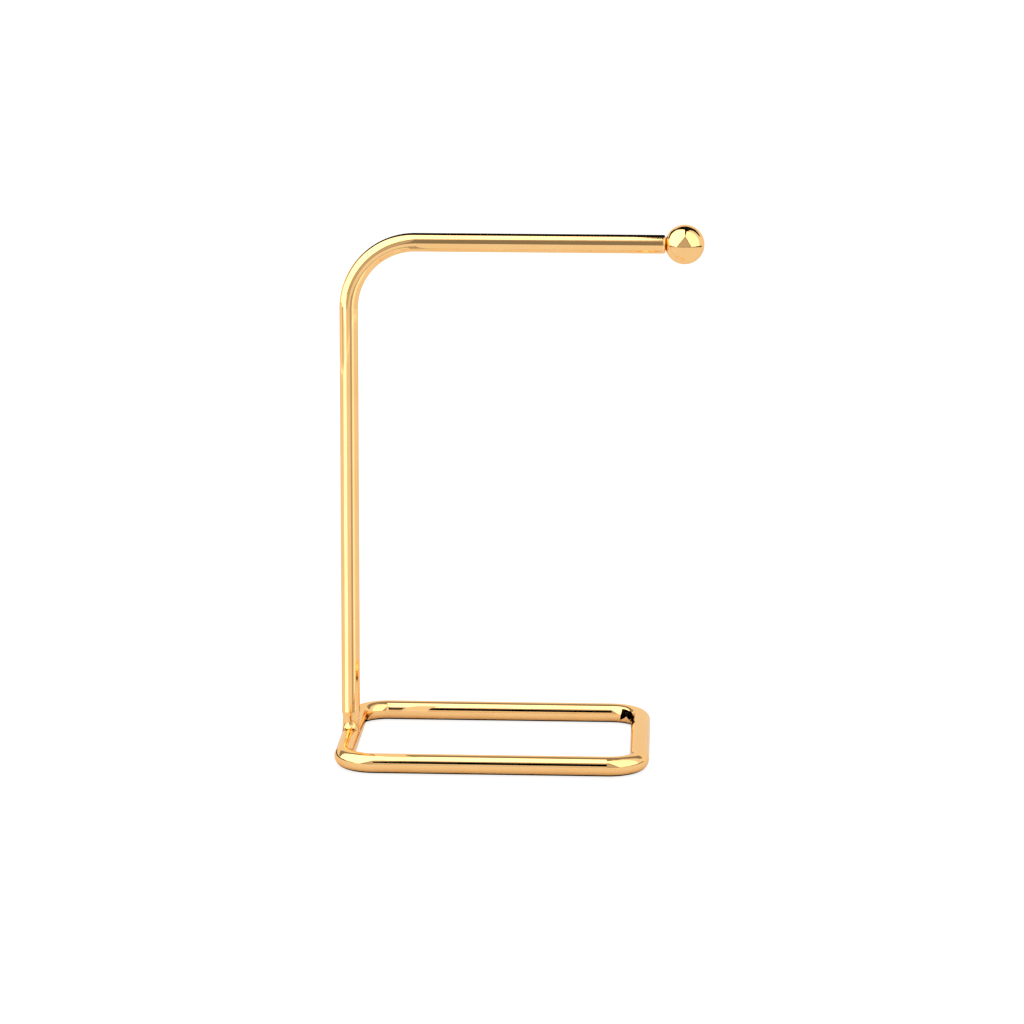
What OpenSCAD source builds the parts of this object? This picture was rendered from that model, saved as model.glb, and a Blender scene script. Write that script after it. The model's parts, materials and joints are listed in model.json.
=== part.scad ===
// Free-standing toilet roll holder. A closed loop of round rod lies on the table as the base.
// One bent tube, welded on the middle of the loop's left side, is the upright and the arm.
// A ball, screwed on a stud at the end of the arm, keeps the roll from sliding off.
//
// +X runs along the arm towards the ball, +Y to the back and +Z up. The origin is on the table,
// under the middle of the holder's outer box.

/* [Base loop] */
// Diameter of the base rod
rod_d = 10; // [8:0.5:14]
// Width of the loop along the arm, between rod centres
loop_w = 150; // [110:1:200]
// Depth of the loop from front to back, between rod centres
loop_d = 110; // [80:1:150]
// Radius of the loop's corners, at the rod's centre
loop_corner_r = 16; // [10:1:35]
// Length of rod that the closing weld fills
seam_gap = 1.6; // [1:0.1:3]

/* [Upright and arm] */
// Outside diameter of the tube
tube_d = 9.5; // [8:0.1:12]
// Wall of the tube
tube_wall = 1.5; // [1.2:0.1:1.8]
// Height of the arm's axis above the table
arm_h = 262.5; // [180:0.5:330]
// Radius of the bend, at the tube's centre
bend_r = 34; // [20:1:60]
// Distance from the upright's axis to the ball's centre
arm_reach = 170; // [140:1:210]
// Rounding of the tube's open end
tube_end_round = 1; // [0.4:0.1:1.1]

/* [Foot weld] */
// Depth that grinding takes off the tube above the weld, on each side
waist_depth = 0.6; // [0.2:0.05:0.7]
// Height of the ground waist's middle above the base rod
waist_lift = 3.5; // [3:0.1:5]
// Half the height of the ground waist
waist_half_h = 4.5; // [3:0.1:6]
// How far the weld reaches out along the base rod, from the tube's surface
weld_leg = 2.2; // [1.5:0.1:4]
// Thickness of the weld's upper edge
weld_edge = 0.1; // [0.05:0.05:0.2]
// Least width of weld between the tube's foot and each side of the base rod
weld_side = 0.8; // [0.5:0.1:0.8]
// Least wall left in the tube at the waist
neck_wall = 0.6; // [0.4:0.1:0.9]

/* [Ball end] */
// Diameter of the ball
ball_d = 20; // [15:0.5:30]
// Diameter of the small flat where the ball meets the arm
seat_d = 5; // [4.6:0.1:6]
// Thread diameter of the stud
stud_d = 4; // [3:0.5:4]
// Length of the stud
stud_l = 16; // [12:1:20]
// Radial play of the stud in its threaded holes
stud_play = 0.05; // [0.03:0.01:0.08]
// Chamfer at each end of the stud
stud_chamfer = 0.5; // [0.2:0.1:0.6]
// Width across flats of the stud's hexagon socket
socket_af = 2; // [1.5:0.1:2]
// Depth of the hexagon socket
socket_depth = 2; // [1:0.1:3]
// Length of the threaded plug in the arm's end
plug_l = 12; // [11:1:20]
// Depth of the ball's threaded hole, without its drilled point
ball_hole_depth = 10; // [9:0.5:12]
// Angle of the drilled point
drill_point_angle = 118; // [90:1:140]

/* [Hidden] */
$fn = 96;

rod_r = rod_d / 2;
tube_r = tube_d / 2;
bore_r = tube_r - tube_wall;
ball_r = ball_d / 2;
stud_r = stud_d / 2;
thread_hole_r = stud_r + stud_play;
// Distance from the ball's centre to the flat that rests on the arm's end
seat_x = sqrt(ball_r ^ 2 - (seat_d / 2) ^ 2);
// The upright stands over the middle of the loop's left side
right_reach = max(arm_reach + ball_r, loop_w + rod_r);
upright_x = (rod_r - right_reach) / 2;
ball_x = upright_x + arm_reach;
arm_end_x = ball_x - seat_x;
bend_top_x = upright_x + bend_r;
bend_start_z = arm_h - bend_r;
// Loop sides and straights
left_x = upright_x;
right_x = left_x + loop_w;
side_y = loop_d / 2;
straight_w = loop_w - 2 * loop_corner_r;
straight_d = loop_d - 2 * loop_corner_r;
// Ground waist at the foot of the tube
waist_z = rod_d + waist_lift;
waist_r = min(tube_r - waist_depth, rod_r - weld_side);
waist_cut_depth = tube_r - waist_r;
waist_arc_r = (waist_half_h ^ 2 + waist_cut_depth ^ 2) / (2 * waist_cut_depth);
neck_bore_r = min(bore_r, waist_r - neck_wall);
// Weld surface: rings from the waist down to the rod, and steps round the tube
weld_rings = 8;
weld_steps = 48;
// Share of the rod's radius that the weld reaches on each side
weld_flank = 0.95;
// Size of the weld body's lower end inside the rod, as a share of the toe and of the rod's radius
weld_core = 0.6;
weld_top_r = waist_r + weld_edge;
weld_toe_y = tube_r + weld_leg;
weld_toe_x = min(weld_top_r + waist_depth, rod_r * weld_flank);
// How far the weld's toe lies under the rod's surface, before the rod is cut away from it
weld_sink = 0.08;
// Shape of the blend: pull down the tube, pull along the rod, pull down the rod's flank, dip at the toe
weld_pull = [1.5, 1.5, 1.4, 0.3];
// A cut runs this far past the face that it opens
past = 1;

// A straight bar of radius r and length l along +X, starting at the origin
module bar_x(r, l) {
    rotate([0, 90, 0]) cylinder(r = r, h = l);
}

// Body of radius r that bends from the upright into the arm, with radius foot_r up to the waist's top
module tube_path(r, foot_r, foot_z, end_x) {
    foot_top_z = waist_z + waist_half_h;
    translate([upright_x, 0, foot_z]) cylinder(r = foot_r, h = foot_top_z - foot_z);
    translate([upright_x, 0, foot_top_z]) cylinder(r = r, h = bend_start_z - foot_top_z);
    translate([bend_top_x, 0, bend_start_z])
        rotate([90, 0, 0])
            rotate([0, 0, 90])
                rotate_extrude(angle = 90)
                    translate([bend_r, 0]) circle(r = r);
    translate([bend_top_x, 0, arm_h]) bar_x(r, end_x - bend_top_x);
}

// The left side of the loop, as it would be without its seam
module left_rod(r) {
    translate([left_x, side_y, rod_r]) rotate([90, 0, 0]) cylinder(r = r, h = loop_d);
}

// One corner of the loop, turned from the front right one
module loop_corner(x, y, turn) {
    translate([x, y, rod_r])
        rotate([0, 0, turn])
            rotate_extrude(angle = 90)
                translate([loop_corner_r, 0]) circle(r = rod_r);
}

// Ring that grinding takes off the tube just above the weld
module waist_cut() {
    translate([upright_x, 0, waist_z])
        rotate_extrude()
            translate([waist_r + waist_arc_r, 0]) circle(r = waist_arc_r);
}

// Part of the tube below the waist's narrowest line
module foot_cut() {
    translate([upright_x, 0, rod_r])
        difference() {
            cylinder(r = tube_r + past, h = waist_z - rod_r);
            translate([0, 0, -past]) cylinder(r = waist_r, h = waist_z - rod_r + 2 * past);
        }
}

// Ring that rounds the outer edge of the arm's open end
module arm_end_cut() {
    translate([arm_end_x - tube_end_round, 0, arm_h])
        rotate([0, 90, 0])
            rotate_extrude()
                difference() {
                    translate([tube_r - tube_end_round, 0]) square([tube_end_round + past, tube_end_round + past]);
                    translate([tube_r - tube_end_round, 0]) circle(r = tube_end_round);
                }
}

// Height of the base rod's top surface at a distance x across it
function rod_top(x) = rod_r + sqrt(max(rod_r ^ 2 - x ^ 2, 0));
// Smooth blend that leaves p0 along t0 and arrives at p1 along t1
function blend(p0, t0, p1, t1, s) =
    (2 * s ^ 3 - 3 * s ^ 2 + 1) * p0 + (s ^ 3 - 2 * s ^ 2 + s) * t0
    + (3 * s ^ 2 - 2 * s ^ 3) * p1 + (s ^ 3 - s ^ 2) * t1;
// Point of the weld's surface at angle a round the tube, s from the waist (0) to the rod (1)
function weld_point(a, s) =
    let (
        top = [weld_top_r * cos(a), weld_top_r * sin(a), waist_z],
        toe_x = weld_toe_x * cos(a),
        toe = [toe_x, weld_toe_y * sin(a), rod_top(toe_x) - weld_sink],
        drop = top[2] - toe[2],
        out = toe - [top[0], top[1], toe[2]],
        fall = weld_pull[2] * (drop - waist_lift - weld_sink) + weld_pull[3] * norm(out)
    )
    blend(top, [0, 0, -weld_pull[0] * drop], toe, weld_pull[1] * out - [0, 0, fall], s);

// Solid weld body before the tube and the rod are cut out of it
module weld_blank() {
    rows = weld_rings + 2;
    surface = [
        for (i = [0:weld_rings]) for (j = [0:weld_steps - 1])
            weld_point(360 * j / weld_steps, i / weld_rings)
    ];
    core = [
        for (j = [0:weld_steps - 1])
            let (p = weld_point(360 * j / weld_steps, 1))
                [p[0] * weld_core, p[1] * weld_core, rod_r * weld_core]
    ];
    last = (rows - 1) * weld_steps;
    sides = [
        for (i = [0:rows - 2]) for (j = [0:weld_steps - 1])
            let (k = (j + 1) % weld_steps, a = i * weld_steps, b = a + weld_steps)
            [a + j, a + k, b + k, b + j]
    ];
    top = [[for (j = [weld_steps - 1:-1:0]) j]];
    bottom = [[for (j = [0:weld_steps - 1]) last + j]];
    translate([upright_x, 0, 0])
        polyhedron(points = concat(surface, core), faces = concat(sides, top, bottom));
}

module base_loop() {
    seam = seam_gap / 2;
    color("goldenrod") {
        translate([left_x + loop_corner_r, -side_y, rod_r]) bar_x(rod_r, straight_w);
        translate([left_x + loop_corner_r, side_y, rod_r]) bar_x(rod_r, straight_w);
        translate([right_x, straight_d / 2, rod_r]) rotate([90, 0, 0]) cylinder(r = rod_r, h = straight_d);
        for (end = [0, 1])
            mirror([0, end, 0])
                translate([left_x, -seam, rod_r])
                    rotate([90, 0, 0]) cylinder(r = rod_r, h = straight_d / 2 - seam);
        loop_corner(right_x - loop_corner_r, side_y - loop_corner_r, 0);
        loop_corner(left_x + loop_corner_r, side_y - loop_corner_r, 90);
        loop_corner(left_x + loop_corner_r, -side_y + loop_corner_r, 180);
        loop_corner(right_x - loop_corner_r, -side_y + loop_corner_r, 270);
    }
}

module base_seam_weld() {
    color("darkgoldenrod")
        translate([left_x, seam_gap / 2, rod_r]) rotate([90, 0, 0]) cylinder(r = rod_r, h = seam_gap);
}

module upright_arm() {
    color("goldenrod")
        difference() {
            tube_path(tube_r, tube_r, rod_r, arm_end_x);
            tube_path(bore_r, neck_bore_r, rod_r - past, arm_end_x + past);
            left_rod(rod_r);
            waist_cut();
            foot_cut();
            arm_end_cut();
        }
}

module foot_weld() {
    color("darkgoldenrod")
        difference() {
            weld_blank();
            left_rod(rod_r);
            translate([upright_x, 0, 0]) cylinder(r = waist_r, h = waist_z + past);
        }
}

module arm_end_plug() {
    color("silver")
        translate([arm_end_x - plug_l, 0, arm_h])
            difference() {
                bar_x(bore_r, plug_l);
                translate([-past, 0, 0]) bar_x(thread_hole_r, plug_l + 2 * past);
            }
}

module finial_stud() {
    color("gainsboro")
        translate([arm_end_x - stud_l / 2, 0, arm_h])
            rotate([0, 90, 0])
                difference() {
                    union() {
                        cylinder(r1 = stud_r - stud_chamfer, r2 = stud_r, h = stud_chamfer);
                        translate([0, 0, stud_chamfer]) cylinder(r = stud_r, h = stud_l - 2 * stud_chamfer);
                        translate([0, 0, stud_l - stud_chamfer])
                            cylinder(r1 = stud_r, r2 = stud_r - stud_chamfer, h = stud_chamfer);
                    }
                    translate([0, 0, stud_l - socket_depth])
                        cylinder(d = socket_af / cos(30), h = socket_depth + past, $fn = 6);
                }
}

module ball_finial() {
    point_h = thread_hole_r / tan(drill_point_angle / 2);
    color("goldenrod")
        translate([ball_x, 0, arm_h])
            difference() {
                sphere(r = ball_r);
                translate([-ball_d - seat_x, -ball_r, -ball_r]) cube([ball_d, ball_d, ball_d]);
                translate([-seat_x - past, 0, 0]) bar_x(thread_hole_r, ball_hole_depth + past);
                translate([-seat_x + ball_hole_depth, 0, 0])
                    rotate([0, 90, 0]) cylinder(r1 = thread_hole_r, r2 = 0, h = point_h);
            }
}

base_loop();
base_seam_weld();
upright_arm();
foot_weld();
arm_end_plug();
finial_stud();
ball_finial();
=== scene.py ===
"""Toilet paper holder in polished gold: looks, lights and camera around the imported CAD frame."""
import json
import math

import bmesh
import bpy
from mathutils import Matrix, Vector


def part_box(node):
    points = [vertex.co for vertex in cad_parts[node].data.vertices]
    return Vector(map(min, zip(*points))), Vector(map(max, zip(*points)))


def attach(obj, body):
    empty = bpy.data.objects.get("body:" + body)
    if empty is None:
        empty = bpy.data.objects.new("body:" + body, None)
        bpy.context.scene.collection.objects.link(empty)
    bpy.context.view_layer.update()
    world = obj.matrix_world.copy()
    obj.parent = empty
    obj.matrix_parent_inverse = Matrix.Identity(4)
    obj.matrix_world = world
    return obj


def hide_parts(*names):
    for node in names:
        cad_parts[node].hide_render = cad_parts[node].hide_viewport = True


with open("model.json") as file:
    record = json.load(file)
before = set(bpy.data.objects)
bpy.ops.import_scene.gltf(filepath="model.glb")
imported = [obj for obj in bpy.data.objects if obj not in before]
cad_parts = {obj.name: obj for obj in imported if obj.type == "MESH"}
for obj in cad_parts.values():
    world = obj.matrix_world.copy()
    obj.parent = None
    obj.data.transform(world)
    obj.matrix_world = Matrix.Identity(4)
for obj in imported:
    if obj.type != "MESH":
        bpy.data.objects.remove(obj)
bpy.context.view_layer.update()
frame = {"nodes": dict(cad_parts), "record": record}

# Where the pieces are, from the frame and its record, in metres
LOOP_LO, LOOP_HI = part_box("base_loop")
TUBE_LO, TUBE_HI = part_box("upright_arm")
BALL_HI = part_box("ball_finial")[1]
STUD_LO, STUD_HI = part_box("finial_stud")
PLUG_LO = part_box("arm_end_plug")[0]
WELD_LO, WELD_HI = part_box("foot_weld")
SEAM_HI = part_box("base_seam_weld")[1]
ROLL_ARM = next(mount for mount in frame["record"]["mounts"] if mount["name"] == "roll_arm")
ARM_Z = ROLL_ARM["pos_m"][2]
TUBE_R = ROLL_ARM["dims"]["r_mm"] / 1000
ROD_R = (LOOP_HI.z - LOOP_LO.z) / 2
BORE_R = ARM_Z - PLUG_LO.z
BALL_R = BALL_HI.z - ARM_Z
STUD_R = max(STUD_HI.z - ARM_Z, ARM_Z - STUD_LO.z, STUD_HI.y, -STUD_LO.y)
UPRIGHT_X = TUBE_LO.x + TUBE_R
ARM_END_X = TUBE_HI.x
BALL_X = BALL_HI.x - BALL_R
WAIST_Z = WELD_HI.z
# Shapes that the boxes don't give, in metres, with the drill's point and the flank as shares
CORNER_R = 0.016
BEND_R = 0.034
END_ROUND = 0.001
WAIST_DEPTH = 0.0006
WAIST_HALF_H = 0.0045
THREAD_PLAY = 0.00005
BALL_HOLE = 0.010
MOUTH_DEPTH = 0.0003
MOUTH_FLARE = 0.0002
DRILL_POINT = 0.6
THREAD_PITCH = 0.0007
THREAD_DEPTH = 0.6 * THREAD_PITCH
THREAD_FLANK = 1.25
STUD_CHAMFER = 0.0005
# The foot's weld: how far it stands out at its top, the height, number and slant of its faint ripples
# after polishing, and how strongly its curve pulls down at the top, and out and down at the toe
WELD_LIP = 0.0001
WELD_RIPPLE = 0.00006
WELD_RIPPLES = 9
WELD_RIPPLE_SLANT = 0.3
WELD_PULL = 1.5
WELD_FALL = 1.4
WELD_SLOPE = 0.3
# Steps round every ring, round the stud, and along each bend or row
ROUND = 128
STUD_ROUND = 48
ROWS_PER_TURN = 8
CORNER_STEPS = 30
WAIST_STEPS = 12
BEND_STEPS = 60
END_STEPS = 10
BORE_STEPS = 15
SKIRT_ROWS = 24
BALL_STEPS = 96
# Radius at which a lathed shape closes to a tip
TIP_R = 0.000001
# Distance from a bend's end to the ring that keeps the straight beside it free of the bend's shading
HOLD = 0.0004
# Edges sharper than this are shown sharp, in degrees
SHARP = 32

# Tones of the plate and the steels, as reflectance at normal view
GOLD = (0.98, 0.61, 0.265)
# The weld's gold is the plate's made a little darker: painted shade that dulls its pale reflections
GOLD_WELD_SHADED = (0.96, 0.58, 0.24)
STEEL = (0.52, 0.51, 0.5)
ZINC = (0.66, 0.67, 0.69)
# Tint of the plate's reflection where it is seen at a slant
GRAZING_TINT = (0.93, 0.8, 0.62)
# Shares of a tone that its deeper patches keep
GOLD_DEEPER = (0.97, 0.94, 0.88)
STEEL_DEEPER = 0.82
# Scales of the noise, a metre over the size of a patch, and its stretch along the axes
TONE_SCALE = 45.0
HAZE_SCALE = 900.0
HAZE_STRETCH = (1.0, 1.0, 0.35)
LATHE_SCALE = 2500.0
LATHE_STRETCH = (1.0, 0.15, 0.15)
LATHE_DEPTH = 0.000008
# Range of the noise's value that is spread over a whole mix
NOISE_LOW, NOISE_HIGH = 0.3, 0.7

# ---------------------------------------------------------------- materials

def new_material(name):
    """A material with its node tree and its main shader."""
    material = bpy.data.materials.new(name)
    material.use_nodes = True
    tree = material.node_tree
    shader = tree.nodes["Principled BSDF"]
    return material, tree, shader


def noise(tree, scale, detail=3.0, stretch=(1.0, 1.0, 1.0)):
    """Noise in the object's own metres, stretched along the axes."""
    place = tree.nodes.new("ShaderNodeTexCoord")
    size = tree.nodes.new("ShaderNodeMapping")
    size.inputs["Scale"].default_value = stretch
    texture = tree.nodes.new("ShaderNodeTexNoise")
    texture.inputs["Scale"].default_value = scale
    texture.inputs["Detail"].default_value = detail
    tree.links.new(place.outputs["Object"], size.inputs["Vector"])
    tree.links.new(size.outputs["Vector"], texture.inputs["Vector"])
    return texture.outputs["Fac"]


def spread(tree, value, low, high):
    """Maps a noise value onto low to high."""
    node = tree.nodes.new("ShaderNodeMapRange")
    node.inputs["From Min"].default_value = NOISE_LOW
    node.inputs["From Max"].default_value = NOISE_HIGH
    node.inputs["To Min"].default_value = low
    node.inputs["To Max"].default_value = high
    tree.links.new(value, node.inputs["Value"])
    return node.outputs["Result"]


def mixed(tree, value, first, second):
    """Colour between two tones by a noise value."""
    node = tree.nodes.new("ShaderNodeMix")
    node.data_type = "RGBA"
    node.inputs["A"].default_value = (*first, 1.0)
    node.inputs["B"].default_value = (*second, 1.0)
    tree.links.new(value, node.inputs["Factor"])
    return node.outputs["Result"]


def bumped(tree, shader, value, distance):
    """Raises the surface by a distance where the noise is high."""
    node = tree.nodes.new("ShaderNodeBump")
    node.inputs["Strength"].default_value = 1.0
    node.inputs["Distance"].default_value = distance
    tree.links.new(value, node.inputs["Height"])
    tree.links.new(node.outputs["Normal"], shader.inputs["Normal"])


def gold(name, tone, smooth, dull, wave=0.000002, wave_scale=160.0):
    """Polished gold plate, with tiny shifts of tone, faint haze in patches and a trace of waviness."""
    material, tree, shader = new_material(name)
    shader.inputs["Metallic"].default_value = 1.0
    shader.inputs["Specular Tint"].default_value = (*GRAZING_TINT, 1.0)
    deeper = [part * share for part, share in zip(tone, GOLD_DEEPER)]
    patches = spread(tree, noise(tree, TONE_SCALE), 0.0, 1.0)
    tree.links.new(mixed(tree, patches, tone, deeper), shader.inputs["Base Color"])
    haze = spread(tree, noise(tree, HAZE_SCALE, 6.0, HAZE_STRETCH), smooth, dull)
    tree.links.new(haze, shader.inputs["Roughness"])
    bumped(tree, shader, noise(tree, wave_scale, 2.0), wave)
    return material


def turned_steel(name, tone, smooth, dull):
    """Turned steel with fine rings of machining."""
    material, tree, shader = new_material(name)
    shader.inputs["Metallic"].default_value = 1.0
    deeper = [STEEL_DEEPER * part for part in tone]
    lines = noise(tree, LATHE_SCALE, 3.0, LATHE_STRETCH)
    tree.links.new(mixed(tree, spread(tree, lines, 0.0, 1.0), tone, deeper), shader.inputs["Base Color"])
    tree.links.new(spread(tree, lines, smooth, dull), shader.inputs["Roughness"])
    bumped(tree, shader, lines, LATHE_DEPTH)
    return material


def paint(node, material):
    """Gives a CAD node that stays a better material."""
    cad = frame["nodes"][node]
    cad.data.materials.clear()
    cad.data.materials.append(material)


# ---------------------------------------------------------------- pieces

def link(obj):
    """Puts an object in the scene."""
    bpy.context.scene.collection.objects.link(obj)
    return obj


def close_up(mesh):
    """Merges a lathed tip's points into one and turns all faces outwards."""
    shape = bmesh.new()
    shape.from_mesh(mesh)
    bmesh.ops.remove_doubles(shape, verts=shape.verts, dist=3 * TIP_R)
    bmesh.ops.recalc_face_normals(shape, faces=shape.faces)
    shape.to_mesh(mesh)
    shape.free()


def shell(name, rings, body, node, material, looped):
    """One smooth piece through a row of rings. A looped row closes on itself, and another has end caps."""
    steps = len(rings[0])
    count = len(rings)
    faces = []
    for i in range(count if looped else count - 1):
        a, b = i * steps, (i + 1) % count * steps
        faces += [(a + j, a + (j + 1) % steps, b + (j + 1) % steps, b + j) for j in range(steps)]
    if not looped:
        faces += [tuple(reversed(range(steps))), tuple(range((count - 1) * steps, count * steps))]
    mesh = bpy.data.meshes.new(name)
    mesh.from_pydata([point for ring in rings for point in ring], [], faces)
    close_up(mesh)
    mesh.polygons.foreach_set("use_smooth", [True] * len(mesh.polygons))
    mesh.set_sharp_from_angle(angle=math.radians(SHARP))
    mesh.materials.append(material)
    obj = link(bpy.data.objects.new(name, mesh))
    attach(obj, body)
    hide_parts(node)
    return obj


def circle(centre, across, up, radius, steps=ROUND):
    """A ring of points round a centre, in the plane of two unit vectors."""
    angles = [2 * math.pi * j / steps for j in range(steps)]
    return [centre + radius * (math.cos(a) * across + math.sin(a) * up) for a in angles]


def turn(first, last, steps):
    """Angles in radians from first to last degrees."""
    return [math.radians(first + (last - first) * i / steps) for i in range(steps + 1)]


def rod_top(x):
    """Height of the base rod's upper surface at x from its middle line."""
    return ROD_R + math.sqrt(max(ROD_R ** 2 - x ** 2, 0.0))


def loop_corners():
    """The centres of the base rod's corners, each with the angle at which the rod enters it."""
    left, right = LOOP_LO.x + ROD_R + CORNER_R, LOOP_HI.x - ROD_R - CORNER_R
    side = LOOP_HI.y - ROD_R - CORNER_R
    return [(left, side, 180), (right, side, 90), (right, -side, 0), (left, -side, -90)]


def corner_ring(x, y, angle, back):
    """Ring of the base rod at an angle round a corner's centre, moved back along the rod."""
    a = math.radians(angle)
    out, ahead = Vector((math.cos(a), math.sin(a), 0)), Vector((math.sin(a), -math.cos(a), 0))
    return circle(Vector((x, y, ROD_R)) + CORNER_R * out - back * ahead, Vector((0, 0, 1)), out, ROD_R)


def base_loop(material):
    """The base rod, from one face of its seam round to the other."""
    left = LOOP_LO.x + ROD_R
    seam = SEAM_HI.y
    up = Vector((0, 0, 1))
    rings = [circle(Vector((left, seam, ROD_R)), up, Vector((-1, 0, 0)), ROD_R)]
    for x, y, start in loop_corners():
        before, after = corner_ring(x, y, start, HOLD), corner_ring(x, y, start - 90, -HOLD)
        angles = [start - 90 * i / CORNER_STEPS for i in range(CORNER_STEPS + 1)]
        rings += [before] + [corner_ring(x, y, angle, 0.0) for angle in angles] + [after]
    rings.append(circle(Vector((left, -seam, ROD_R)), up, Vector((-1, 0, 0)), ROD_R))
    return shell("loop_rod", rings, "frame", "base_loop", material, False)


def tube_ring(kind, place, radius):
    """Ring round the tube: on the post at a height, in the bend at an angle or on the arm at an x."""
    angle = {"post": 0.0, "bend": place, "arm": math.pi / 2}[kind]
    side, out = Vector((0, 1, 0)), Vector((-math.cos(angle), 0, math.sin(angle)))
    bend = Vector((UPRIGHT_X + BEND_R, 0, ARM_Z - BEND_R))
    centre = bend + BEND_R * out
    if kind == "post":
        centre.z = place
    if kind == "arm":
        centre.x = place
    return circle(centre, side, out, radius)


def saddle(radius):
    """Ring where a vertical pipe of this radius meets the base rod."""
    flat = circle(Vector((UPRIGHT_X, 0, 0)), Vector((0, 1, 0)), Vector((-1, 0, 0)), radius)
    return [Vector((p.x, p.y, rod_top(p.x - UPRIGHT_X))) for p in flat]


def upright_arm(material):
    """The tube with its ground waist, its bend, its rounded end and its bore."""
    neck_r = TUBE_R - WAIST_DEPTH
    arc_r = (WAIST_HALF_H ** 2 + WAIST_DEPTH ** 2) / (2 * WAIST_DEPTH)
    bend_z = ARM_Z - BEND_R
    rings = [saddle(neck_r)]
    for i in range(WAIST_STEPS + 1):
        rise = WAIST_HALF_H * i / WAIST_STEPS
        rings.append(tube_ring("post", WAIST_Z + rise, neck_r + arc_r - math.sqrt(arc_r ** 2 - rise ** 2)))
    face_x = ARM_END_X - END_ROUND
    waist_end = WAIST_Z + WAIST_HALF_H
    rings += [tube_ring("post", waist_end + HOLD, TUBE_R), tube_ring("post", bend_z - HOLD, TUBE_R)]
    rings += [tube_ring("bend", a, TUBE_R) for a in turn(0, 90, BEND_STEPS)]
    rings += [tube_ring("arm", UPRIGHT_X + BEND_R + HOLD, TUBE_R), tube_ring("arm", face_x - HOLD, TUBE_R)]
    rings += [tube_ring("arm", face_x + END_ROUND * math.sin(a), TUBE_R - END_ROUND * (1 - math.cos(a)))
              for a in turn(0, 90, END_STEPS)]
    rings += [tube_ring("arm", ARM_END_X, BORE_R), tube_ring("arm", UPRIGHT_X + BEND_R, BORE_R)]
    rings += [tube_ring("bend", a, BORE_R) for a in turn(90, 0, BORE_STEPS)[1:]]
    rings.append(saddle(BORE_R))
    return shell("bent_tube", rings, "frame", "upright_arm", material, True)


def blend(p0, t0, p1, t1, s):
    """Smooth step from p0, leaving along t0, to p1, arriving along t1."""
    return ((2 * s ** 3 - 3 * s ** 2 + 1) * p0 + (s ** 3 - 2 * s ** 2 + s) * t0
            + (3 * s ** 2 - 2 * s ** 3) * p1 + (s ** 3 - s ** 2) * t1)


def foot_weld(material):
    """The weld between the tube's foot and the rod: a smooth skirt, ground and polished."""
    neck_r = TUBE_R - WAIST_DEPTH
    top_r = neck_r + WELD_LIP
    reach_x = (WELD_HI.x - WELD_LO.x) / 2
    reach_y = (WELD_HI.y - WELD_LO.y) / 2
    foot = Vector((UPRIGHT_X, 0, 0))
    rows = [[] for _ in range(SKIRT_ROWS + 1)]
    under = []
    for j in range(ROUND):
        a = 2 * math.pi * j / ROUND
        top = Vector((-top_r * math.sin(a), top_r * math.cos(a), WAIST_Z))
        x = -reach_x * math.sin(a)
        toe = Vector((x, reach_y * math.cos(a), rod_top(x)))
        drop = top.z - toe.z
        out = Vector((toe.x - top.x, toe.y - top.y, 0))
        fall = WELD_FALL * (drop - (WAIST_Z - 2 * ROD_R)) + WELD_SLOPE * out.length
        leave = Vector((0, 0, -WELD_PULL * drop))
        arrive = WELD_PULL * out - Vector((0, 0, fall))
        for i in range(SKIRT_ROWS + 1):
            share = i / SKIRT_ROWS
            ripple = WELD_RIPPLE * math.sin(math.pi * share) * math.sin(WELD_RIPPLES * a + 2 * share)
            stand_out = ripple * Vector((-math.sin(a), math.cos(a), WELD_RIPPLE_SLANT))
            rows[i].append(foot + blend(top, leave, toe, arrive, share) + stand_out)
        middle = (toe + top) / 2
        under.append(foot + Vector((middle.x, middle.y, rod_top(middle.x))))
    rings = rows + [under, saddle(neck_r), tube_ring("post", WAIST_Z, neck_r)]
    return shell("weld_skirt", rings, "frame", "foot_weld", material, True)


def lathe(points):
    """Rings round the arm's axis through (x, radius) points."""
    side, up = Vector((0, 1, 0)), Vector((0, 0, 1))
    return [circle(Vector((x, 0, ARM_Z)), side, up, max(r, TIP_R)) for x, r in points]


def ball(material):
    """The ball with its seat, its threaded hole's mouth and its drilled point."""
    hole_r = STUD_R + THREAD_PLAY
    seat_x = BALL_X - ARM_END_X
    seat_angle = math.degrees(math.acos(seat_x / BALL_R))
    angles = turn(seat_angle, 180, BALL_STEPS)
    skin = [(BALL_X - BALL_R * math.cos(a), BALL_R * math.sin(a)) for a in angles]
    bottom_x = ARM_END_X + BALL_HOLE
    hole = [(bottom_x + hole_r * DRILL_POINT, 0.0), (bottom_x, hole_r), (ARM_END_X + MOUTH_DEPTH, hole_r)]
    mouth = [(ARM_END_X, hole_r + MOUTH_FLARE)]
    rings = lathe(hole + mouth + skin)
    return shell("ball_end", rings, "finial", "ball_finial", material, False)


def stud(material):
    """The set screw that holds the ball, with its thread as a real helix."""
    rings = []
    rows = int((STUD_HI.x - STUD_LO.x) / THREAD_PITCH * ROWS_PER_TURN)
    for i in range(rows + 1):
        x = STUD_LO.x + (STUD_HI.x - STUD_LO.x) * i / rows
        to_end = min(x - STUD_LO.x, STUD_HI.x - x)
        points = []
        for j in range(STUD_ROUND):
            a = 2 * math.pi * j / STUD_ROUND
            turns = (x - STUD_LO.x) / THREAD_PITCH - j / STUD_ROUND
            ridge = abs(2 * (turns - math.floor(turns)) - 1)
            radius = STUD_R - THREAD_DEPTH * min(1.0, THREAD_FLANK * (1 - ridge))
            radius = min(radius, STUD_R - STUD_CHAMFER + to_end)
            points.append(Vector((x, radius * math.cos(a), ARM_Z + radius * math.sin(a))))
        rings.append(points)
    return shell("set_screw", rings, "stud", "finial_stud", material, False)


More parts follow.
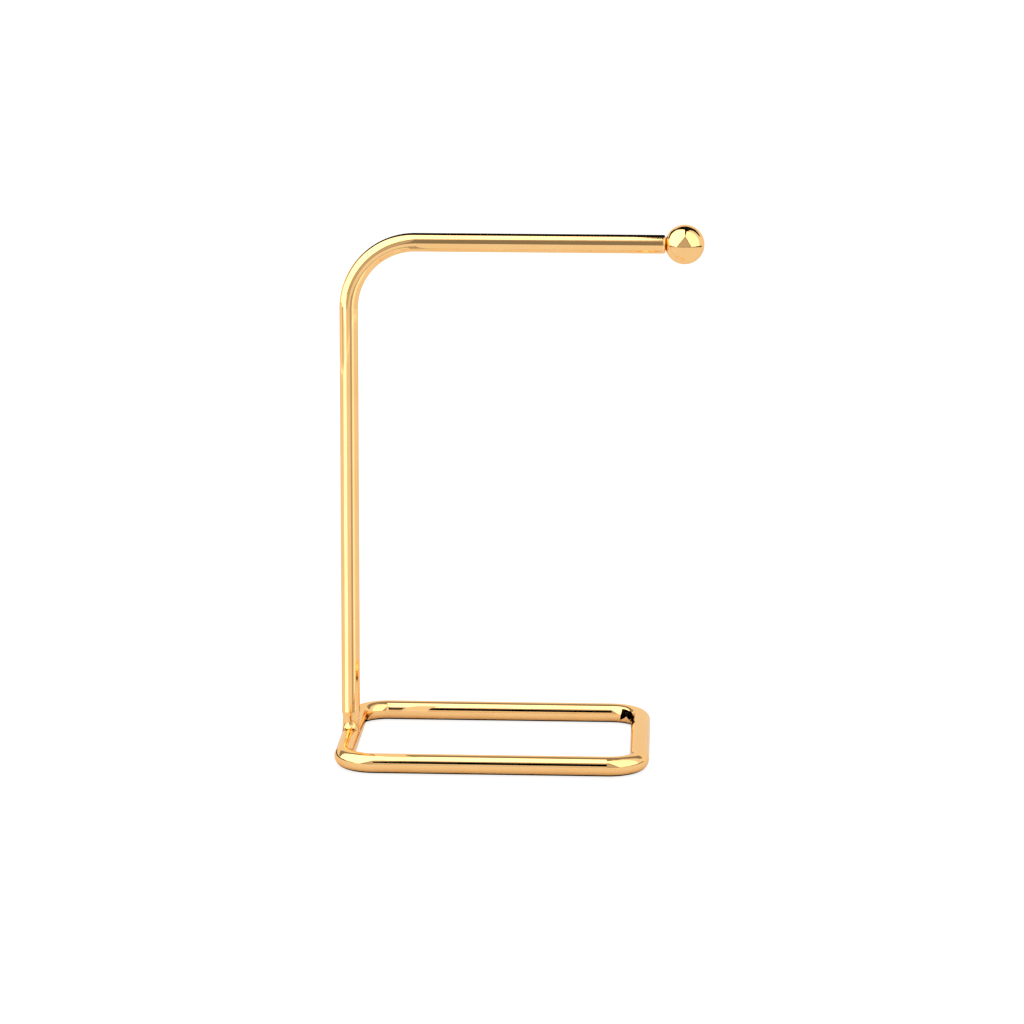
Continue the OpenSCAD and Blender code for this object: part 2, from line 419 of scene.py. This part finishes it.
plate = gold("gold_plate", GOLD, 0.03, 0.055)
# The weld's material is rougher than the plate's, and its darker tone is painted shade
weld = gold("gold_weld", GOLD_WELD_SHADED, 0.12, 0.26, wave=0.00002, wave_scale=420.0)
steel = turned_steel("plain_steel", STEEL, 0.28, 0.42)
zinc = turned_steel("zinc_steel", ZINC, 0.2, 0.34)
paint("base_seam_weld", weld)
paint("arm_end_plug", steel)
loop_rod = base_loop(plate)
bent_tube = upright_arm(plate)
weld_skirt = foot_weld(weld)
ball_end = ball(plate)
stud(zinc)


# ---------------------------------------------------------------- studio
# Lengths are in metres and angles in degrees. An azimuth is 0 towards the front and positive to the right.

WORLD_LIGHT = 1.0
FLOOR_HALF = 12.0
FLOOR_TONE = (0.25, 0.25, 0.25)
FLOOR_GLOW = 0.8
MATT = 0.9
TABLE_R = 1.44
TABLE_STEPS = 72
TABLE_TONE = (0.85, 0.85, 0.85)
FILL_SIZE = 5.0
FILL_PLACE = (0.0, -0.3, 4.0)
FILL_POWER = 80.0
# The dark strip where the base rod touches the table
CONTACT_Z = 0.00005
CONTACT_HALF = 0.003
CONTACT_STEPS = 12
# The dark oval card by the back right corner: its centre from the corner's, its size and the way it faces
SPOT_PLACE = Vector((0.0053, 0.0094, 0.0062))
SPOT_R = 0.0019
SPOT_STRETCH = 2.6
SPOT_STEPS = 24
SPOT_FACES = (-99, 11)
# Screens round the table and the upright
SCREEN_STEPS = 24
RIM_GAP = 0.02
STRIPE_GAP = 0.0005
STRIPE_H = 0.225
# Cards far round the ball, one behind another
WALL = 8.0
LAYER = 0.1
CARD_LONG, CARD_WIDE = 32, 6
# Inner and outer edges of the two softboxes, which lean together over a view of the room
LEFT_EDGE = [(-50, -16), (-44, -4), (-38, 3), (-26, 20), (-13, 37), (0, 53), (-176, 79)]
LEFT_OUTER = [(-104, -16), (-112, -3), (-113, 18), (-125, 33), (-132, 53), (-140, 66), (-170, 78)]
RIGHT_EDGE = [(44, -16), (36, -2), (32, 4), (23, 20), (15, 38), (4, 54), (22, 73), (58, 81), (91, 82)]
RIGHT_OUTER = [(91, -16), (93, -4), (94, 6), (96, 20), (96, 34), (96, 49), (98, 63), (95, 72), (91, 82)]
# The softboxes' frames: how wide they are, and how many points of the inner edges they follow
FRAME_W = 3
FRAME_POINTS = 6
# Edges of the upright gap in the room's middle
GAP_LEFT, GAP_RIGHT = -6.5, 0.5
# Edges of the dark ceiling behind the softboxes
CEILING_LOW = [(-120, 8), (-132, 18), (-148, 22), (-167, 32), (-177, 38), (170, 39), (157, 36), (145, 32),
               (134, 27), (127, 18)]
CEILING_HIGH = [(-112, 12), (-124, 32), (-136, 48), (-140, 70), (-30, 55), (4, 50), (60, 75), (136, 72),
                (124, 48), (117, 28)]


def stage_mesh(name, points, faces, material):
    """A mesh of the studio, which isn't part of the object."""
    mesh = bpy.data.meshes.new(name)
    mesh.from_pydata(points, [], faces)
    mesh.materials.append(material)
    obj = link(bpy.data.objects.new(name, mesh))
    return obj


def glow(name, strength, clear=False):
    """Even light. A clear one adds to what lies behind it."""
    material = bpy.data.materials.new(name)
    material.use_nodes = True
    tree = material.node_tree
    tree.nodes.clear()
    out = tree.nodes.new("ShaderNodeOutputMaterial")
    light = tree.nodes.new("ShaderNodeEmission")
    light.inputs["Strength"].default_value = strength
    if not clear:
        tree.links.new(light.outputs["Emission"], out.inputs["Surface"])
        return material
    both = tree.nodes.new("ShaderNodeAddShader")
    tree.links.new(tree.nodes.new("ShaderNodeBsdfTransparent").outputs["BSDF"], both.inputs[0])
    tree.links.new(light.outputs["Emission"], both.inputs[1])
    tree.links.new(both.outputs["Shader"], out.inputs["Surface"])
    return material


def seen_from_ball(azimuth, elevation):
    """Direction from the ball."""
    a, e = math.radians(azimuth), math.radians(elevation)
    return Vector((math.sin(a) * math.cos(e), -math.cos(a) * math.cos(e), math.sin(e)))


def along(edge, share):
    """Direction at a share of the way along an edge, which is a list of (azimuth, elevation)."""
    place = share * (len(edge) - 1)
    i = min(int(place), len(edge) - 2)
    return seen_from_ball(*edge[i]).lerp(seen_from_ball(*edge[i + 1]), place - i)


def only_reflected(obj):
    """Leaves an object to be seen in the metal's reflections and nowhere else."""
    obj.visible_camera = False
    obj.visible_diffuse = False
    obj.visible_shadow = False


def glow_for(obj, pieces):
    """Lets a card light the given pieces alone."""
    chosen = bpy.data.collections.new(obj.name)
    for piece in pieces:
        chosen.objects.link(piece)
    obj.light_linking.receiver_collection = chosen


def card(name, strength, layer, first_edge, second_edge, lights=(), clear=False):
    """A curved softbox, wall or dark flag far round the ball, between two edges, on a layer behind WALL.

    It shows only in the metal's reflections. With lights given, it glows for those pieces alone,
    and to the others it is black, or clear.
    """
    eye = Vector((BALL_X, 0.0, ARM_Z))
    distance = WALL + layer * LAYER
    points = []
    for i in range(CARD_LONG + 1):
        start, end = along(first_edge, i / CARD_LONG), along(second_edge, i / CARD_LONG)
        across = [start.lerp(end, j / CARD_WIDE).normalized() for j in range(CARD_WIDE + 1)]
        points += [eye + distance * away for away in across]
    row = CARD_WIDE + 1
    faces = [(i * row + j, i * row + j + 1, (i + 1) * row + j + 1, (i + 1) * row + j)
             for i in range(CARD_LONG) for j in range(CARD_WIDE)]
    obj = stage_mesh(name, points, faces, glow(name, strength, clear))
    only_reflected(obj)
    if lights:
        glow_for(obj, lights)


def ring(radius, height, first, last, steps, x=BALL_X):
    """Points on a circle round a foot on the table, the ball's or another, from azimuth first to last."""
    foot = Vector((x, 0.0, height))
    return [foot + radius * Vector((math.sin(a), -math.cos(a), 0.0)) for a in turn(first, last, steps)]


def daylight():
    """Even white light from all round, for directions that no card covers."""
    sky = bpy.data.worlds.new("studio")
    bpy.context.scene.world = sky
    sky.use_nodes = True
    sky.node_tree.nodes["Background"].inputs["Color"].default_value = (1, 1, 1, 1)
    sky.node_tree.nodes["Background"].inputs["Strength"].default_value = WORLD_LIGHT


def matt(name, tone):
    """A matt surface without any gloss, and its shader."""
    material, _, shader = new_material(name)
    shader.inputs["Base Color"].default_value = (*tone, 1)
    shader.inputs["Roughness"].default_value = MATT
    shader.inputs["Specular IOR Level"].default_value = 0.0
    return material, shader


def floor_seen():
    """The white floor that the camera sees, lit so that it keeps only a trace of shadow."""
    material, shader = matt("floor_white", FLOOR_TONE)
    shader.inputs["Emission Color"].default_value = (1, 1, 1, 1)
    shader.inputs["Emission Strength"].default_value = FLOOR_GLOW
    half = FLOOR_HALF
    corners = [(-half, -half, 0), (half, -half, 0), (half, half, 0), (-half, half, 0)]
    obj = stage_mesh("floor", corners, [(0, 1, 2, 3)], material)
    obj.visible_glossy = False
    obj.visible_diffuse = False


def table_reflected():
    """The matt white table top as the metal reflects it."""
    material, _ = matt("table_white", TABLE_TONE)
    edge = ring(TABLE_R, 0.0, 0, 360, TABLE_STEPS)[:-1]
    only_reflected(stage_mesh("table", edge, [tuple(range(len(edge)))], material))


def loop_outline(reach):
    """Points on the table along the base rod's middle line, moved outwards by a distance."""
    points = []
    for x, y, start in loop_corners():
        middle = Vector((x, y, CONTACT_Z))
        ways = [Vector((math.cos(a), math.sin(a), 0)) for a in turn(start, start - 90, CONTACT_STEPS)]
        points += [middle + (CORNER_R + reach) * way for way in ways]
    return points


def contact_shadow():
    """The dark strip under the base rod where it touches the table."""
    inner, outer = loop_outline(-CONTACT_HALF), loop_outline(CONTACT_HALF)
    count = len(inner)
    faces = [(i, (i + 1) % count, count + (i + 1) % count, count + i) for i in range(count)]
    only_reflected(stage_mesh("contact_shadow", inner + outer, faces, glow("contact_shadow", 0.0)))


def dark_spot():
    """A small card by the back right corner: dark to the loop, and as bright as the table to the others."""
    x, y, _ = loop_corners()[1]
    away = seen_from_ball(*SPOT_FACES)
    across = Vector((0, 0, 1)).cross(away).normalized()
    tall = SPOT_STRETCH * away.cross(across)
    points = circle(Vector((x, y, 0)) + SPOT_PLACE, across, tall, SPOT_R, SPOT_STEPS)
    obj = stage_mesh("dark_spot", points, [tuple(range(SPOT_STEPS))], glow("dark_spot", 1.0))
    only_reflected(obj)
    glow_for(obj, [bent_tube, ball_end, weld_skirt])


def fill_light():
    """A soft overhead light for the table and the floor, which the metal doesn't reflect."""
    lamp = bpy.data.lights.new("fill", "AREA")
    lamp.shape = "DISK"
    lamp.size = FILL_SIZE
    lamp.energy = FILL_POWER
    obj = link(bpy.data.objects.new("fill", lamp))
    obj.location = FILL_PLACE
    obj.visible_glossy = False
    obj.visible_camera = False


def standing(name, radius, height, first, last, x, material, lights=()):
    """A curved screen that stands on the table round x and shows only in the metal's reflections."""
    low = ring(radius, 0.0, first, last, SCREEN_STEPS, x)
    high = ring(radius, height, first, last, SCREEN_STEPS, x)
    count = len(low)
    faces = [(i, i + 1, count + i + 1, count + i) for i in range(count - 1)]
    obj = stage_mesh(name, low + high, faces, material)
    only_reflected(obj)
    if lights:
        glow_for(obj, lights)


def table_rim(name, strength, height, first, last):
    """A stretch of the dark line round the table's edge."""
    standing(name, TABLE_R, height, first, last, BALL_X, glow(name, strength))


def tube_glow(name, strength, radius, height, first, last, x):
    """Light that the tube alone reflects, on top of what stands behind it."""
    standing(name, radius, height, first, last, x, glow(name, strength, True), [bent_tube])


def rim_glow(name, strength, height, first, last):
    """Light that the tube alone reflects, just inside the table's edge."""
    tube_glow(name, strength, TABLE_R - RIM_GAP, height, first, last, BALL_X)


def tube_shade(name, strength, radius, height, first, last, x):
    """A darker stripe for the tube. To the loop, the ball and the weld it is as bright as the table."""
    standing(name, radius, height, first, last, x, glow(name, 1.0), [loop_rod, ball_end, weld_skirt])
    tube_glow(name + "_glow", strength, radius - STRIPE_GAP, height, first, last, x)


def upright_band(first, last, top):
    """Two edges from just under the horizon up to an elevation."""
    return [[(first, -9), (first, top)], [(last, -9), (last, top)]]


daylight()
floor_seen()
table_reflected()

# The dark line round the table's edge, from the back left over the front to the back right: each
# stretch's strength, its height, and its first and last azimuth
table_rim("rim_back_left", 0.02, 0.16, -150, -84)
table_rim("rim_left", 0.02, 0.1, -84, -60)
table_rim("rim_front_left", 0.1, 0.04, -60, -42)
table_rim("rim_front", 0.1, 0.05, -38, 44)
table_rim("rim_right", 0.02, 0.08, 44, 66)
table_rim("rim_back_right", 0.02, 0.12, 66, 118)

# What the tube reflects instead of that line, in the same order, and the stripes along its upright,
# which also have a radius before the height and end with the x that they stand round
rim_glow("rim_glow_left", 0.95, 0.16, -150, -78)
rim_glow("rim_glow_edge", 1.2, 0.2, -50, -38)
rim_glow("rim_glow_front", 0.8, 0.05, -38, 44)
rim_glow("rim_glow_right", 0.95, 0.1, 44, 118)
tube_glow("strip_left", 1.2, 0.06, STRIPE_H, -66, -28, UPRIGHT_X)
tube_glow("strip_right", 0.45, 0.3, 0.2, 44, 66, UPRIGHT_X)
tube_glow("strip_right_low", 0.45, 0.08, 0.05, 44, 66, UPRIGHT_X)
tube_shade("stripe_dark", 0.5, 0.05, STRIPE_H, 18, 38, UPRIGHT_X)

contact_shadow()
dark_spot()
fill_light()

# The softboxes, their frames and a wedge of light between their tops for the loop
left_frame = [(azimuth + FRAME_W, elevation) for azimuth, elevation in LEFT_EDGE[:FRAME_POINTS]]
right_frame = [(azimuth - FRAME_W, elevation) for azimuth, elevation in RIGHT_EDGE[:FRAME_POINTS]]
wedge = [[(0, 53), (0, 66), (0, 79)], [(4, 54), (22, 73), (58, 81)]]
card("softbox_left", 2.4, 0, LEFT_EDGE, LEFT_OUTER)
card("softbox_right", 1.8, 0, RIGHT_EDGE, RIGHT_OUTER)
card("frame_left", 0.05, 2, LEFT_EDGE[:FRAME_POINTS], left_frame)
card("frame_right", 0.05, 2, RIGHT_EDGE[:FRAME_POINTS], right_frame)
card("wedge_loop", 1.8, 1, *wedge, lights=[loop_rod], clear=True)

# The room between the softboxes, and the gap in its middle as the ball, the tube and the loop see it
card("room", 0.59, 20, [(-60, -18), (-30, 60)], [(60, -18), (30, 60)])
card("room_gap", 0.59, 10, *upright_band(GAP_LEFT, GAP_RIGHT, 38), lights=[ball_end])
card("room_gap_tube", 0.28, 9, *upright_band(GAP_LEFT, GAP_RIGHT, 38), lights=[bent_tube], clear=True)
card("room_gap_loop", 0.9, 8, *upright_band(GAP_LEFT, GAP_RIGHT, 12), lights=[loop_rod], clear=True)

# The ceiling, lighter for the loop, and the low backdrop behind the holder
card("ceiling", 0.01, 15, CEILING_LOW, CEILING_HIGH)
card("ceiling_loop", 0.3, 14, CEILING_LOW, CEILING_HIGH, lights=[loop_rod], clear=True)
card("backdrop_low", 1.0, 12, [(150, 6), (152, 39)], [(-148, 6), (-150, 39)], lights=[ball_end, loop_rod])

# ---------------------------------------------------------------- camera
# The camera stands in front, a little to the right and above, as in the photograph. It aims at a
# point beside the upright. The angles are in radians, and the focal length is in widths of the picture.
AIM = Vector((UPRIGHT_X + 0.083303, 0.0, 0.124126))
DISTANCE = 1.862699
PITCH = 0.19352
YAW = 0.04511
ROLL = 0.00307
FOCAL_IN_FRAMES = 3.551629
SENSOR = 36.0
FAR_CLIP = 100.0


def camera():
    """The scene's camera, without depth of field."""
    back = Vector((math.sin(YAW) * math.cos(PITCH), -math.cos(YAW) * math.cos(PITCH), math.sin(PITCH)))
    level = (-back).cross(Vector((0, 0, 1))).normalized()
    upright = back.cross(level)
    right = math.cos(ROLL) * level + math.sin(ROLL) * upright
    up = -math.sin(ROLL) * level + math.cos(ROLL) * upright
    data = bpy.data.cameras.new("camera")
    data.sensor_width = SENSOR
    data.lens = SENSOR * FOCAL_IN_FRAMES
    data.clip_end = FAR_CLIP
    obj = link(bpy.data.objects.new("camera", data))
    facing = Matrix((right, up, back)).transposed().to_4x4()
    obj.matrix_world = Matrix.Translation(AIM + back * DISTANCE) @ facing
    bpy.context.scene.camera = obj


camera()
bpy.context.scene.view_settings.view_transform = "Standard"
